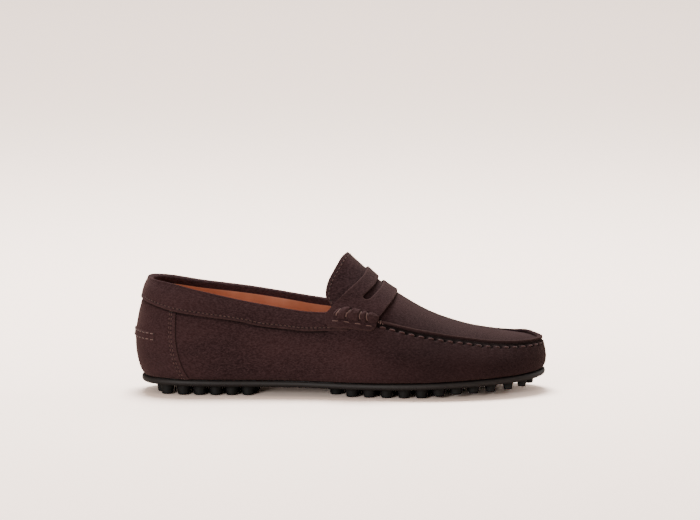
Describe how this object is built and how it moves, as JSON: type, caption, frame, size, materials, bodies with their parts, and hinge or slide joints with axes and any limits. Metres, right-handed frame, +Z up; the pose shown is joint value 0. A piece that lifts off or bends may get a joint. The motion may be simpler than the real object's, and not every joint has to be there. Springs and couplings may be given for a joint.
{
  "type": "driving moccasin",
  "caption": "Slip-on suede driving shoe for a right foot: raised apron seam, slotted saddle strap, folded collar, leather lining and a rubber sole with round studs.",
  "frame": {"origin": "middle of the shoe's length and width, on the ground under the studs", "axes": "+X from heel to toe, +Y to the wearer's left, which is the inner side of a right shoe, +Z up"},
  "size_m": [0.288, 0.0994, 0.0962],
  "materials": {
    "suede": "napped suede, very dark reddish brown, no gloss",
    "lining_leather": "smooth undyed orange tan leather, satin",
    "thread": "twisted polyester sewing thread, dull",
    "sole_rubber": "moulded rubber, matt",
    "stud_rubber": "moulded rubber, matt black",
    "insole_board": "pressed fibre board",
    "foam": "open cell foam, matt",
    "stiffener": "stiff bonded fibre sheet"
  },
  "bodies": {
    "root": {"outsole": "sole_rubber", "heel_stud_pad": "stud_rubber", "forefoot_stud_pad": "stud_rubber", "insole_board": "insole_board", "heel_cushion": "foam", "sock": "lining_leather", "vamp": "suede", "heel_piece": "suede", "heel_counter": "stiffener", "quarter_lining": "lining_leather", "vamp_lining": "lining_leather", "apron": "suede", "collar": "suede", "heel_band": "suede", "saddle_strap": "suede", "beef_roll_outer": "suede", "beef_roll_inner": "suede", "collar_thread": "thread", "heel_band_thread_upper": "thread", "heel_band_thread_lower": "thread", "heel_piece_thread_outer_front": "thread", "heel_piece_thread_outer_rear": "thread", "heel_piece_thread_inner_front": "thread", "heel_piece_thread_inner_rear": "thread", "apron_thread": "thread"}
  },
  "joints": []
}
